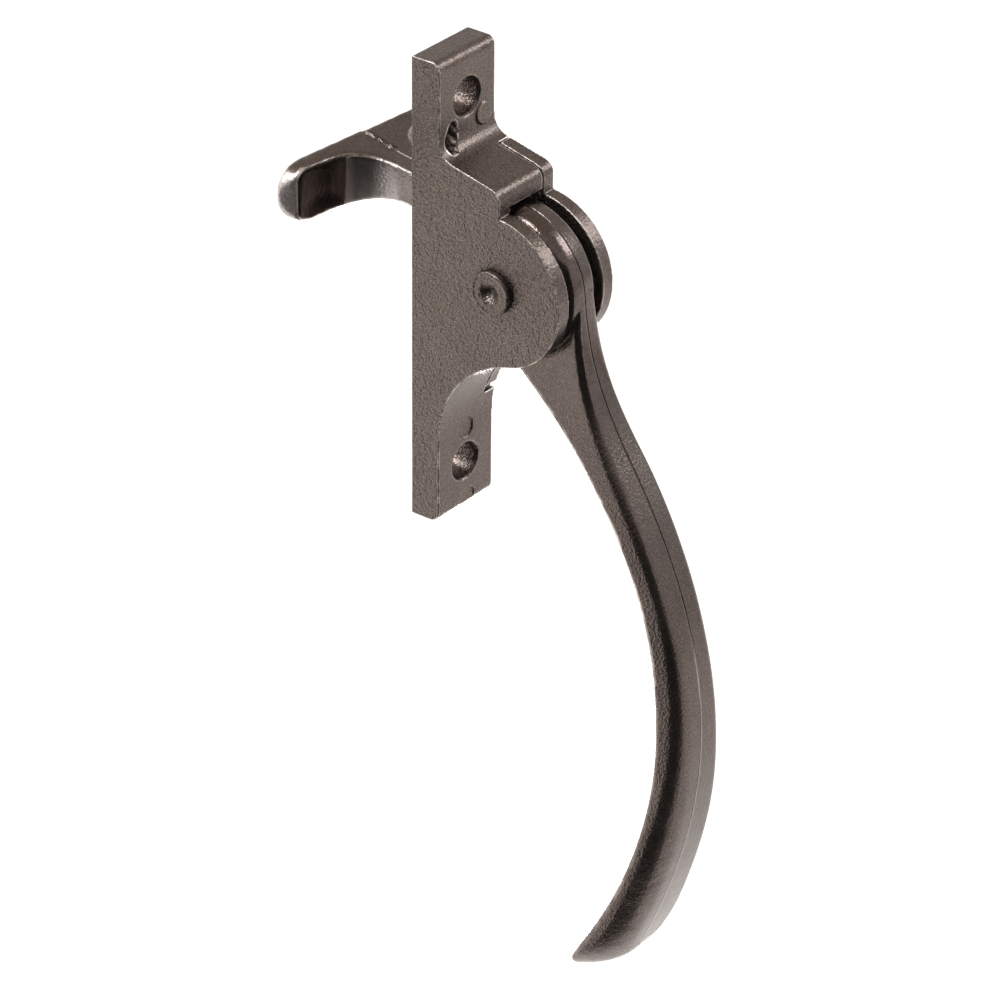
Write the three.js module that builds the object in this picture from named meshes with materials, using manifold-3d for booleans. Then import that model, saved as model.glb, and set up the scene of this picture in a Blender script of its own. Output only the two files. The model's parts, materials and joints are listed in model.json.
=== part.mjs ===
// Casement window fastener: a die-cast base with one ear, a side plate that makes the other ear,
// and a one-piece lever that turns on a rivet between them.
//
// Frame: +X to the right of someone facing the window from the room, -Y out into the room, +Z up.
// The origin is on the back face of the flange, half way between the two screw holes.
// Side outlines are drawn in (out, up): "out" is the distance in front of the flange's back face.

import * as THREE from 'three';
import { mergeVertices } from 'three/addons/utils/BufferGeometryUtils.js';
import Module from 'manifold-3d';

const wasm = await Module();
wasm.setup();

// ---- driving dimensions, millimetres ----
const HOLE_SPACING = 60.325;
const FLANGE_WIDTH = 12.9;
const FLANGE_THICK = 5.1;
const FLANGE_TOP = 37.5;
const FLANGE_BOTTOM = -38;
const FLANGE_ROUND = 1.5;
const SCREW_BORE = 5.7;
const SCREW_MOUTH = 6.4;
const SCREW_MOUTH_DEPTH = 0.5;

const EJECTOR_RADIUS = 1.7;
const EJECTOR_MARKS = [[3.7, 26.3, 0.3], [0.1, -24.4, -0.3], [0.5, -36.6, -0.3]];

const PIVOT_OUT = 15.1;
const PIVOT_UP = 4.4;
const EAR_RADIUS = 12;
const EAR_THICK = 2.4;
const PLATE_THICK = 2.3;
const SEAM = 0.3;
const WEB_FILLET = 17.2;

const BLOCK_FRONT = 16.05;
const BLOCK_TOP_AT_FLANGE = 22.8;
const BLOCK_DROP = 0.22;
const BLOCK_ROUND = 0.9;
const BLOCK_FILLET = 2.6;
const BLOCK_UNDERSIDE = 17.3;
const WEB_FRONT = 12.5;
const PLATE_TOP_STEP_OUT = 7.9;
const PLATE_TOP_STEP_UP = 20.6;
const PLATE_BOTTOM = -19.8;
const PLATE_TAIL = 1.9;
const PLATE_TAIL_SLOPE = 1.3;

const HUB_RADIUS = 12.2;
const HUB_CLEARANCE = 0.45;
const LEVER_LEFT = -3.7;
const LEVER_RIGHT = 2.5;

const NECK_TOP = 16.9;
const NECK_UNDERSIDE = 11.5;
const HEAD_REACH = 18.2;
const HEAD_HEIGHT = 9.6;
const HEAD_TOP = 19.5;
const HEAD_THICK = 2.4;
const HEAD_BACK = 14.15;
const HEAD_SLANT = 0.08;
const HEAD_FILLET = 7.5;

// The handle's edges are curves through these points; a lean is an edge's direction there, in
// degrees outward from straight down, and a pull is how far the curve holds to it.
const HANDLE_SWING = 60;
const HANDLE_OUTER_START_LEAN = 5;
const HANDLE_OUTER_START_PULL = 8.9;
const HANDLE_OUTER_MID = [36, -18.8];
const HANDLE_OUTER_MID_LEAN = 33.4;
const HANDLE_OUTER_MID_PULLS = [11, 33.5];
const HANDLE_OUTER_END = [40.7, -101.4];
const HANDLE_OUTER_END_LEAN = -24;
const HANDLE_OUTER_END_PULL = 33;
const HANDLE_INNER_START = [15.2, -7];
const HANDLE_INNER_START_LEAN = 52.9;
const HANDLE_INNER_START_PULL = 21.8;
const HANDLE_INNER_MID = [45.35, -62.2];
const HANDLE_INNER_MID_LEAN = 1;
const HANDLE_INNER_MID_PULLS = [28, 19];
const HANDLE_INNER_END = [31.6, -105];
const HANDLE_INNER_END_LEAN = -31;
const HANDLE_INNER_END_PULL = 9.5;
const HANDLE_HALF_WIDTHS = [3.05, 3.6, 4.4, 4.5, 4.55, 5.1, 6.1, 6.9, 8.1];
const HANDLE_OUTER_ROUND = 1.5;
const HANDLE_INNER_ROUND = 1.1;
const HANDLE_DRAFT = 0.035;
const HANDLE_TIP = 4.4;
const HANDLE_TIP_PLAN = 13;
const HANDLE_TIP_FULLNESS = 2.4;
const HANDLE_TIP_LEAN = -22;

const RIVET_SHANK = 5.4;
const RIVET_BORE = 5.6;
const RIVET_HEAD = 7;
const RIVET_HEAD_PROUD = 1.05;
const RIVET_DIMPLE = 3.6;
const RIVET_DIMPLE_DEPTH = 1.1;
const FACTORY_HEAD = 9;
const FACTORY_HEAD_PROUD = 1.2;

const WASHER_INNER = 6.2;
const WASHER_OUTER = 15;
const WASHER_THICK = 0.5;
const WASHER_WAVE = 0.28;
const WASHER_WAVES = 3;

const PAINT = { color: 0x5f554d, roughness: 0.5, metalness: 0.35 };
const SPRING_STEEL = { color: 0x8c8a86, roughness: 0.35, metalness: 0.9 };

// ---- positions worked out from them ----
const LEFT = -FLANGE_WIDTH / 2;
const RIGHT = FLANGE_WIDTH / 2;
const EAR_INNER = LEFT + EAR_THICK;
const PLATE_INNER = RIGHT - PLATE_THICK;
const CORE_RIGHT = PLATE_INNER - SEAM;
const LEVER_CENTRE = (LEVER_LEFT + LEVER_RIGHT) / 2;
const CLEAR_FRONT = PIVOT_OUT + EAR_RADIUS + 2;
const RAD = Math.PI / 180;

// The concave web is one arc, tangent to the front of the flange and to the ear's circle.
const WEB_OUT = FLANGE_THICK + WEB_FILLET;
const WEB_UP = PIVOT_UP - Math.sqrt((WEB_FILLET + EAR_RADIUS) ** 2 - (WEB_OUT - PIVOT_OUT) ** 2);
const WEB_ANGLE = Math.atan2(PIVOT_UP - WEB_UP, PIVOT_OUT - WEB_OUT);

// ---- joining and cutting ----
function solid(geometry) {
  const bare = geometry.clone();
  bare.deleteAttribute('normal');
  bare.deleteAttribute('uv');
  const merged = mergeVertices(bare, 1e-5);
  const vertProperties = new Float32Array(merged.attributes.position.array);
  const triVerts = new Uint32Array(merged.index.array);
  return new wasm.Manifold(new wasm.Mesh({ numProp: 3, vertProperties, triVerts }));
}

function geometryOf(manifold) {
  const mesh = manifold.getMesh();
  const geometry = new THREE.BufferGeometry();
  geometry.setAttribute('position', new THREE.BufferAttribute(mesh.vertProperties, 3));
  geometry.setIndex(new THREE.BufferAttribute(mesh.triVerts, 1));
  geometry.computeVertexNormals();
  return geometry;
}

function piece(name, geometry, paint) {
  const mesh = new THREE.Mesh(geometry, new THREE.MeshStandardMaterial(paint));
  mesh.name = name;
  return mesh;
}

// ---- placing flat outlines ----
// A side outline, drawn in (out, up), is extruded from xLeft to xRight.
function sideSlab(outline, xLeft, xRight, curveSegments = 24) {
  const depth = xRight - xLeft;
  const geometry = new THREE.ExtrudeGeometry(outline, { depth, curveSegments, bevelEnabled: false });
  const place = new THREE.Matrix4().makeBasis(
    new THREE.Vector3(0, -1, 0),
    new THREE.Vector3(0, 0, 1),
    new THREE.Vector3(-1, 0, 0),
  );
  place.setPosition(xRight, 0, 0);
  return solid(geometry.applyMatrix4(place));
}

// A plan outline, drawn in (x, y), is extruded from zLow to zHigh.
function planSlab(outline, zLow, zHigh, curveSegments = 16) {
  const depth = zHigh - zLow;
  const geometry = new THREE.ExtrudeGeometry(outline, { depth, curveSegments, bevelEnabled: false });
  return solid(geometry.translate(0, 0, zLow));
}

// A turned shape, drawn in (radius, x), stands on the pivot axis, with x along +X.
function turnedOnPivot(profile, segments) {
  const geometry = new THREE.LatheGeometry(profile, segments);
  geometry.rotateZ(-Math.PI / 2);
  return solid(geometry.translate(0, -PIVOT_OUT, PIVOT_UP));
}

// A turned shape, drawn in (radius, out), stands on a screw axis, with "out" along -Y.
function turnedOnScrew(profile, up, segments) {
  const geometry = new THREE.LatheGeometry(profile, segments);
  geometry.rotateX(Math.PI);
  return solid(geometry.translate(0, 0, up));
}

function points(list) {
  return list.map(([a, b]) => new THREE.Vector2(a, b));
}

function pivotCylinder(diameter, xLeft, xRight, segments = 40) {
  const r = diameter / 2;
  return turnedOnPivot(points([[0, xLeft], [r, xLeft], [r, xRight], [0, xRight]]), segments);
}

// ---- base casting ----
// The block's top slopes gently down toward the front.
function blockTop(out) {
  return BLOCK_TOP_AT_FLANGE - BLOCK_DROP * (out - FLANGE_THICK);
}

// The whole side silhouette: flange, block, ear and web.
function bodyOutline() {
  const earStart = WEB_ANGLE - Math.PI;
  const earEnd = Math.acos((BLOCK_FRONT - PIVOT_OUT) / EAR_RADIUS);
  const roundOut = BLOCK_FRONT - BLOCK_ROUND;
  const filletOut = FLANGE_THICK + BLOCK_FILLET;
  const filletUp = BLOCK_TOP_AT_FLANGE + BLOCK_FILLET;
  const s = new THREE.Shape();
  s.moveTo(0, FLANGE_BOTTOM);
  s.lineTo(FLANGE_THICK - FLANGE_ROUND, FLANGE_BOTTOM);
  s.absarc(FLANGE_THICK - FLANGE_ROUND, FLANGE_BOTTOM + FLANGE_ROUND, FLANGE_ROUND, -Math.PI / 2, 0);
  s.lineTo(FLANGE_THICK, WEB_UP);
  s.absarc(WEB_OUT, WEB_UP, WEB_FILLET, Math.PI, WEB_ANGLE, true);
  s.absarc(PIVOT_OUT, PIVOT_UP, EAR_RADIUS, earStart, earEnd);
  s.lineTo(BLOCK_FRONT, blockTop(BLOCK_FRONT) - BLOCK_ROUND);
  s.quadraticCurveTo(BLOCK_FRONT, blockTop(BLOCK_FRONT), roundOut, blockTop(roundOut));
  s.lineTo(filletOut, blockTop(filletOut));
  s.quadraticCurveTo(FLANGE_THICK, BLOCK_TOP_AT_FLANGE, FLANGE_THICK, filletUp);
  s.lineTo(FLANGE_THICK, FLANGE_TOP - FLANGE_ROUND);
  s.absarc(FLANGE_THICK - FLANGE_ROUND, FLANGE_TOP - FLANGE_ROUND, FLANGE_ROUND, 0, Math.PI / 2);
  s.lineTo(0, FLANGE_TOP);
  s.closePath();
  return s;
}

// Everything between the ears is cut away: the hub's clearance circle, the way out of the front,
// and the window in the back that the neck swings through, down to its stop face.
function pocketOutline() {
  const [farOut, farUp] = swung(-6, NECK_UNDERSIDE - HUB_CLEARANCE, HANDLE_SWING);
  const [nearOut, nearUp] = swung(5, NECK_UNDERSIDE - HUB_CLEARANCE, HANDLE_SWING);
  const s = new THREE.Shape();
  s.moveTo(farOut, farUp);
  s.lineTo(nearOut, nearUp);
  s.lineTo(PIVOT_OUT, PIVOT_UP);
  s.lineTo(BLOCK_FRONT + 2, PIVOT_UP);
  s.lineTo(BLOCK_FRONT + 2, BLOCK_UNDERSIDE);
  s.lineTo(farOut, BLOCK_UNDERSIDE);
  s.closePath();
  return s;
}

// A point of the side view after the handle has been lifted by so many degrees.
function swung(out, up, degrees) {
  const c = Math.cos(degrees * RAD);
  const s = Math.sin(degrees * RAD);
  const a = out - PIVOT_OUT;
  const b = up - PIVOT_UP;
  return [PIVOT_OUT + a * c - b * s, PIVOT_UP + a * s + b * c];
}

function boxOutline(outLow, outHigh, upLow, upHigh) {
  const s = new THREE.Shape();
  s.moveTo(outLow, upLow);
  s.lineTo(outHigh, upLow);
  s.lineTo(outHigh, upHigh);
  s.lineTo(outLow, upHigh);
  s.closePath();
  return s;
}

function screwHole(up) {
  const bore = SCREW_BORE / 2;
  const mouth = SCREW_MOUTH / 2;
  const profile = points([
    [0, -1],
    [bore, -1],
    [bore, FLANGE_THICK - SCREW_MOUTH_DEPTH],
    [mouth, FLANGE_THICK],
    [mouth, FLANGE_THICK + 3],
    [0, FLANGE_THICK + 3],
  ]);
  return turnedOnScrew(profile, up, 32);
}

// The round witness of an ejector pin on the flange's front: proud if its height is positive.
function ejectorMark(x, up, height) {
  const low = height > 0 ? FLANGE_THICK - 1 : FLANGE_THICK + height;
  const high = height > 0 ? FLANGE_THICK + height : FLANGE_THICK + 1;
  const profile = points([[0, low], [EJECTOR_RADIUS, low], [EJECTOR_RADIUS, high], [0, high]]);
  return turnedOnScrew(profile, up, 24).translate([x, 0, 0]);
}

// The shallow bed in the right side that the side plate lies in.
function plateBed() {
  const top = BLOCK_TOP_AT_FLANGE + 1;
  const s = new THREE.Shape();
  s.moveTo(-1, PLATE_BOTTOM - SEAM);
  s.lineTo(CLEAR_FRONT, PLATE_BOTTOM - SEAM);
  s.lineTo(CLEAR_FRONT, top);
  s.lineTo(PLATE_TOP_STEP_OUT - SEAM, top);
  s.lineTo(PLATE_TOP_STEP_OUT - SEAM, PLATE_TOP_STEP_UP + SEAM);
  s.lineTo(-1, PLATE_TOP_STEP_UP + SEAM);
  s.closePath();
  return s;
}

function baseCasting() {
  const room = RIGHT + 1;
  const nose = boxOutline(WEB_FRONT, CLEAR_FRONT, WEB_UP, PIVOT_UP);
  let body = sideSlab(bodyOutline(), LEFT, RIGHT);
  body = body.subtract(pivotCylinder(2 * (HUB_RADIUS + HUB_CLEARANCE), EAR_INNER, room, 64));
  body = body.subtract(sideSlab(pocketOutline(), EAR_INNER, room));
  body = body.subtract(sideSlab(nose, EAR_INNER, room));
  body = body.subtract(sideSlab(plateBed(), CORE_RIGHT, room));
  body = body.subtract(pivotCylinder(RIVET_BORE, LEFT - 1, RIGHT + 1));
  for (const up of [HOLE_SPACING / 2, -HOLE_SPACING / 2]) {
    body = body.subtract(screwHole(up));
  }
  for (const [x, up, height] of EJECTOR_MARKS) {
    const mark = ejectorMark(x, up, height);
    body = height > 0 ? body.add(mark) : body.subtract(mark);
  }
  return geometryOf(body);
}

// ---- side plate: the right ear, let into the casting ----
function sidePlate() {
  const tailUp = PLATE_BOTTOM + PLATE_TAIL_SLOPE * PLATE_TAIL;
  const keep = new THREE.Shape();
  keep.moveTo(0, PLATE_BOTTOM);
  keep.lineTo(FLANGE_THICK - 0.1, PLATE_BOTTOM);
  keep.lineTo(FLANGE_THICK + PLATE_TAIL, tailUp);
  keep.lineTo(CLEAR_FRONT, tailUp);
  keep.lineTo(CLEAR_FRONT, BLOCK_TOP_AT_FLANGE);
  keep.lineTo(PLATE_TOP_STEP_OUT, BLOCK_TOP_AT_FLANGE);
  keep.lineTo(PLATE_TOP_STEP_OUT, PLATE_TOP_STEP_UP);
  keep.lineTo(0, PLATE_TOP_STEP_UP);
  keep.closePath();
  const whole = sideSlab(bodyOutline(), PLATE_INNER, RIGHT);
  const plate = whole.intersect(sideSlab(keep, PLATE_INNER, RIGHT));
  return geometryOf(plate.subtract(pivotCylinder(RIVET_BORE, PLATE_INNER - 1, RIGHT + 1)));
}

// ---- lever ----
// A direction in the side view, so many degrees outward from straight down.
function downward(degrees) {
  return [Math.sin(degrees * RAD), -Math.cos(degrees * RAD)];
}

// A curve from start to end, given the lean and pull it leaves start with and meets end with.
function bezier(start, startLean, startPull, end, endLean, endPull) {
  const [sx, sy] = downward(startLean);
  const [ex, ey] = downward(endLean);
  return new THREE.CubicBezierCurve(
    new THREE.Vector2(start[0], start[1]),
    new THREE.Vector2(start[0] + sx * startPull, start[1] + sy * startPull),
    new THREE.Vector2(end[0] - ex * endPull, end[1] - ey * endPull),
    new THREE.Vector2(end[0], end[1]),
  );
}

// The handle's outer edge leaves the hub's circle, bends outward, then sweeps back to the tip.
function handleOuterEdge() {
  const leave = HANDLE_OUTER_START_LEAN * RAD;
  const start = [PIVOT_OUT + HUB_RADIUS * Math.cos(leave), PIVOT_UP + HUB_RADIUS * Math.sin(leave)];
  const [above, below] = HANDLE_OUTER_MID_PULLS;
  const path = new THREE.CurvePath();
  path.add(bezier(
    start, HANDLE_OUTER_START_LEAN, HANDLE_OUTER_START_PULL,
    HANDLE_OUTER_MID, HANDLE_OUTER_MID_LEAN, above,
  ));
  path.add(bezier(
    HANDLE_OUTER_MID, HANDLE_OUTER_MID_LEAN, below,
    HANDLE_OUTER_END, HANDLE_OUTER_END_LEAN, HANDLE_OUTER_END_PULL,
  ));
  return path;
}

function handleInnerEdge() {
  const [above, below] = HANDLE_INNER_MID_PULLS;
  const path = new THREE.CurvePath();
  path.add(bezier(
    HANDLE_INNER_START, HANDLE_INNER_START_LEAN, HANDLE_INNER_START_PULL,
    HANDLE_INNER_MID, HANDLE_INNER_MID_LEAN, above,
  ));
  path.add(bezier(
    HANDLE_INNER_MID, HANDLE_INNER_MID_LEAN, below,
    HANDLE_INNER_END, HANDLE_INNER_END_LEAN, HANDLE_INNER_END_PULL,
  ));
  return path;
}

function handleHalfWidth(t) {
  const widths = HANDLE_HALF_WIDTHS.map((w) => new THREE.Vector2(w, 0));
  return new THREE.SplineCurve(widths).getPoint(t).x;
}

// One rounded, slightly crowned cross-section, as [across, inner-to-outer] pairs, counter-clockwise.
function handleSection(halfWidth, thick, outerRound, innerRound) {
  const ring = [];
  const corner = (cx, cn, radius, fromDegrees) => {
    for (let i = 0; i <= 4; i += 1) {
      const a = (fromDegrees + i * 22.5) * RAD;
      ring.push([cx + radius * Math.cos(a), cn + radius * Math.sin(a)]);
    }
  };
  corner(halfWidth - innerRound, innerRound, innerRound, -90);
  corner(halfWidth - outerRound, thick - outerRound, outerRound, 0);
  ring.push([0, thick]);
  corner(outerRound - halfWidth, thick - outerRound, outerRound, 90);
  corner(innerRound - halfWidth, innerRound, innerRound, 180);
  ring.push([0, 0]);
  const mid = thick / 2;
  return ring.map(([a, n]) => [a, n - Math.sign(n - mid) * HANDLE_DRAFT * Math.abs(a)]);
}

// A closed skin over rings of equal length, with a fan over each end.
function loft(rings) {
  const count = rings[0].length;
  const positions = rings.flat(2);
  const index = [];
  for (let r = 0; r + 1 < rings.length; r += 1) {
    for (let i = 0; i < count; i += 1) {
      const a = r * count + i;
      const b = r * count + ((i + 1) % count);
      index.push(a, b, b + count, a, b + count, a + count);
    }
  }
  const last = (rings.length - 1) * count;
  for (let i = 1; i + 1 < count; i += 1) {
    index.push(0, i + 1, i);
    index.push(last, last + i, last + i + 1);
  }
  const geometry = new THREE.BufferGeometry();
  geometry.setAttribute('position', new THREE.Float32BufferAttribute(positions, 3));
  geometry.setIndex(index);
  return geometry;
}

// How much of its full width the handle keeps at a distance from its very end.
function tipNarrowing(distance) {
  const share = Math.min(distance / HANDLE_TIP_PLAN, 1);
  return (1 - (1 - share) ** HANDLE_TIP_FULLNESS) ** (1 / HANDLE_TIP_FULLNESS);
}

function handle() {
  const outer = handleOuterEdge();
  const inner = handleInnerEdge();
  const length = outer.getLength();
  const steps = 40;
  const tipSteps = 6;
  const rings = [];
  const place = (innerPoint, outerPoint, t, distance) => {
    const along = outerPoint.clone().sub(innerPoint);
    const thick = along.length();
    along.normalize();
    const halfWidth = handleHalfWidth(t) * tipNarrowing(distance);
    const outerRound = Math.min(HANDLE_OUTER_ROUND, thick * 0.45, halfWidth * 0.9);
    const innerRound = Math.min(HANDLE_INNER_ROUND, thick * 0.45, halfWidth * 0.9);
    const section = handleSection(halfWidth, thick, outerRound, innerRound);
    rings.push(section.map(([across, n]) => {
      const out = innerPoint.x + along.x * n;
      const up = innerPoint.y + along.y * n;
      return [LEVER_CENTRE + across, -out, up];
    }));
  };
  for (let i = 0; i <= steps; i += 1) {
    const t = i / steps;
    place(inner.getPointAt(t), outer.getPointAt(t), t, (1 - t) * length + HANDLE_TIP);
  }
  const o = outer.getPointAt(1);
  const n = inner.getPointAt(1);
  const middle = o.clone().add(n).multiplyScalar(0.5);
  const half = o.clone().sub(n).multiplyScalar(0.5);
  const [tipX, tipY] = downward(HANDLE_TIP_LEAN);
  for (let i = 1; i <= tipSteps; i += 1) {
    const a = (i / tipSteps) * 82 * RAD;
    const reach = HANDLE_TIP * Math.sin(a);
    const shrink = Math.cos(a);
    const centre = middle.clone().add(new THREE.Vector2(tipX * reach, tipY * reach));
    const from = centre.clone().addScaledVector(half, -shrink);
    const to = centre.clone().addScaledVector(half, shrink);
    place(from, to, 1, HANDLE_TIP - reach);
  }
  return solid(loft(rings));
}

// The neck runs back from the hub through the flange; its top and bottom spread toward the head.
function neckOutline() {
  const s = new THREE.Shape();
  s.moveTo(PIVOT_OUT, PIVOT_UP);
  s.lineTo(PIVOT_OUT, PIVOT_UP + HUB_RADIUS - 0.1);
  s.lineTo(0, NECK_TOP);
  s.quadraticCurveTo(-HEAD_BACK / 2, NECK_TOP + 0.3, -HEAD_BACK, HEAD_TOP - 0.1);
  s.lineTo(-HEAD_BACK - 3, HEAD_TOP + 0.5);
  s.lineTo(-HEAD_BACK - 3, HEAD_TOP - HEAD_HEIGHT - 0.1);
  s.lineTo(-HEAD_BACK + 2, HEAD_TOP - HEAD_HEIGHT);
  s.quadraticCurveTo(-6, NECK_UNDERSIDE, 0, NECK_UNDERSIDE);
  s.lineTo(PIVOT_OUT - 8, NECK_UNDERSIDE);
  s.closePath();
  return s;
}

// Plan of neck and head: a T with arms that lean back a little to the left, and wide inner fillets.
function headPlan() {
  const back = (x) => HEAD_BACK - HEAD_SLANT * (x - LEVER_CENTRE);
  const front = (x) => back(x) - HEAD_THICK;
  const leftEnd = LEVER_CENTRE - HEAD_REACH;
  const rightEnd = LEVER_CENTRE + HEAD_REACH;
  const leftFillet = LEVER_LEFT - HEAD_FILLET;
  const rightFillet = LEVER_RIGHT + HEAD_FILLET;
  const s = new THREE.Shape();
  s.moveTo(LEVER_RIGHT, -PIVOT_OUT);
  s.lineTo(LEVER_RIGHT, front(rightFillet) - HEAD_FILLET);
  s.quadraticCurveTo(LEVER_RIGHT, front(LEVER_RIGHT), rightFillet, front(rightFillet));
  s.lineTo(rightEnd, front(rightEnd));
  s.lineTo(rightEnd, back(rightEnd));
  s.lineTo(leftEnd, back(leftEnd));
  s.lineTo(leftEnd, front(leftEnd));
  s.lineTo(leftFillet, front(leftFillet));
  s.quadraticCurveTo(LEVER_LEFT, front(LEVER_LEFT), LEVER_LEFT, front(leftFillet) - HEAD_FILLET);
  s.lineTo(LEVER_LEFT, -PIVOT_OUT);
  s.closePath();
  return s;
}

// Seen from the front, the head is a bar with round ends.
function headBar() {
  const radius = HEAD_HEIGHT / 2;
  const middle = HEAD_TOP - radius;
  const leftCentre = LEVER_CENTRE - HEAD_REACH + radius;
  const rightCentre = LEVER_CENTRE + HEAD_REACH - radius;
  const s = new THREE.Shape();
  s.absarc(rightCentre, middle, radius, -Math.PI / 2, Math.PI / 2);
  s.absarc(leftCentre, middle, radius, Math.PI / 2, (Math.PI * 3) / 2);
  s.closePath();
  const geometry = new THREE.ExtrudeGeometry(s, { depth: 40, curveSegments: 16, bevelEnabled: false });
  geometry.rotateX(Math.PI / 2);
  return solid(geometry.translate(0, 36, 0));
}

function lever() {
  const edge = 0.7;
  const hub = turnedOnPivot(points([
    [0, LEVER_LEFT],
    [HUB_RADIUS - edge, LEVER_LEFT],
    [HUB_RADIUS, LEVER_LEFT + edge],
    [HUB_RADIUS, LEVER_RIGHT - edge],
    [HUB_RADIUS - edge, LEVER_RIGHT],
    [0, LEVER_RIGHT],
  ]), 72);
  const side = sideSlab(neckOutline(), -30, 30, 12);
  const plan = planSlab(headPlan(), HEAD_TOP - HEAD_HEIGHT - 1, HEAD_TOP + 1);
  const neck = sideSlab(neckOutline(), LEVER_LEFT, LEVER_RIGHT, 12);
  const backTrim = planSlab(headPlan(), PIVOT_UP - 20, PIVOT_UP + 30);
  const head = side.intersect(plan).intersect(headBar());
  let body = hub.add(neck.intersect(backTrim)).add(head).add(handle());
  body = body.subtract(pivotCylinder(RIVET_BORE, LEVER_LEFT - 1, LEVER_RIGHT + 1));
  return geometryOf(body);
}

// ---- pivot rivet ----
function pivotRivet() {
  const shank = RIVET_SHANK / 2;
  const seat = 0.05;
  const leftFace = LEFT - seat - RIVET_HEAD_PROUD;
  const rightFace = RIGHT + seat + FACTORY_HEAD_PROUD;
  const profile = points([
    [0, leftFace + RIVET_DIMPLE_DEPTH],
    [RIVET_DIMPLE / 2, leftFace],
    [RIVET_HEAD / 2 - 0.3, leftFace],
    [RIVET_HEAD / 2, leftFace + 0.3],
    [RIVET_HEAD / 2, LEFT - seat],
    [shank, LEFT - seat],
    [shank, RIGHT + seat],
    [FACTORY_HEAD / 2, RIGHT + seat],
    [FACTORY_HEAD / 2, rightFace - 0.5],
    [FACTORY_HEAD / 2 - 0.8, rightFace],
    [0, rightFace],
  ]);
  return geometryOf(turnedOnPivot(profile, 40));
}

// ---- spring washer ----
// A thin ring whose height rises and falls three times round, between hub and side plate.
function springWasher() {
  const turns = 60;
  const middle = (LEVER_RIGHT + PLATE_INNER) / 2;
  const inner = WASHER_INNER / 2;
  const outer = WASHER_OUTER / 2;
  const half = WASHER_THICK / 2;
  const section = [[inner, -half], [outer, -half], [outer, half], [inner, half]];
  const positions = [];
  const index = [];
  for (let i = 0; i < turns; i += 1) {
    const a = (i / turns) * Math.PI * 2;
    const lift = WASHER_WAVE * Math.cos(WASHER_WAVES * a);
    for (const [r, side] of section) {
      positions.push(middle + lift + side, -PIVOT_OUT - r * Math.cos(a), PIVOT_UP + r * Math.sin(a));
    }
    for (let k = 0; k < 4; k += 1) {
      const here = i * 4 + k;
      const beside = i * 4 + ((k + 1) % 4);
      const next = (here + 4) % (turns * 4);
      const nextBeside = (beside + 4) % (turns * 4);
      index.push(here, beside, nextBeside, here, nextBeside, next);
    }
  }
  const geometry = new THREE.BufferGeometry();
  geometry.setAttribute('position', new THREE.Float32BufferAttribute(positions, 3));
  geometry.setIndex(index);
  geometry.computeVertexNormals();
  return geometry;
}

const fastener = new THREE.Group();
fastener.add(piece('base_casting', baseCasting(), PAINT));
fastener.add(piece('side_plate', sidePlate(), PAINT));
fastener.add(piece('lever', lever(), PAINT));
fastener.add(piece('pivot_rivet', pivotRivet(), PAINT));
fastener.add(piece('spring_washer', springWasher(), SPRING_STEEL));

export default fastener;
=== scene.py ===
"""Casement window fastener: cast base with one ear, side plate, lever, rivet and spring washer.

Shapes are worked out in millimetres in the row's own frame, +X right, -Y out into the room, +Z up,
and turned into metres when a piece is finished. "out" is the distance in front of the flange's back.
"""

import json
import math

import bmesh
import bpy
import numpy as np
from mathutils import Matrix, Vector, noise


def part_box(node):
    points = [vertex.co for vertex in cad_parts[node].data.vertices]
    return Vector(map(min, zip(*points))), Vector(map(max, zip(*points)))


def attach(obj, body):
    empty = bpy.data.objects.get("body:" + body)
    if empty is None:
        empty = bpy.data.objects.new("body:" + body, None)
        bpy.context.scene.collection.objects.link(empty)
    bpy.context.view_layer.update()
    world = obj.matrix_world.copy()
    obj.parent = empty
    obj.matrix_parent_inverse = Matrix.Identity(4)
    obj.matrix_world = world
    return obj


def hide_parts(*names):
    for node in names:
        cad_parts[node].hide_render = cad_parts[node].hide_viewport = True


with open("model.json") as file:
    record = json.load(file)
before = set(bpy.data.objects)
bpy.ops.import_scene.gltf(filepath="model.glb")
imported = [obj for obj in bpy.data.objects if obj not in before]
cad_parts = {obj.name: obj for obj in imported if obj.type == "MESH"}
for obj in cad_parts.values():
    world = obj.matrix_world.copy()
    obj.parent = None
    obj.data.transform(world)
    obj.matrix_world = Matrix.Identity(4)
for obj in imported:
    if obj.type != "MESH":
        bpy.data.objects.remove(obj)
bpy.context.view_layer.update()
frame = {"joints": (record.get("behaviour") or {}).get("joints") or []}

MM = 0.001


def millimetres(corner):
    return [value / MM for value in corner]


# ---- places and sizes read from the frame ----
base_low, base_high = (millimetres(c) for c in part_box("base_casting"))
plate_low = millimetres(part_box("side_plate")[0])
rivet_low, rivet_high = (millimetres(c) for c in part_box("pivot_rivet"))
washer_low, washer_high = (millimetres(c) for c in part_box("spring_washer"))
joint = frame["joints"][0]
pivot = millimetres(joint["pos_m"])

LEFT = base_low[0]
RIGHT = base_high[0]
FLANGE_TOP = base_high[2]
FLANGE_BOTTOM = base_low[2]
PLATE_INNER = plate_low[0]
PIVOT_OUT = -pivot[1]
PIVOT_UP = pivot[2]
EAR_RADIUS = -base_low[1] - PIVOT_OUT

# ---- sizes, millimetres; angles in degrees ----
# How far a cutting shape reaches past what it cuts.
OVERCUT = 1

# Flange, ear, web and block. A FRONT is how far something stands out from the flange's back.
HOLE_SPACING = 60.325
FLANGE_THICK = 5.1
FLANGE_ROUND = 1.5
SCREW_BORE = 5.7
SCREW_MOUTH = 6.4
SCREW_MOUTH_DEPTH = 0.5
EAR_THICK = 2.4
WEB_FILLET = 17.2
WEB_FRONT = 12.5
BLOCK_FRONT = 16.05
BLOCK_TOP_AT_FLANGE = 22.8
BLOCK_DROP = 0.22
BLOCK_ROUND = 1.7
BLOCK_FILLET = 2.6
BLOCK_UNDERSIDE = 17.3

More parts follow.
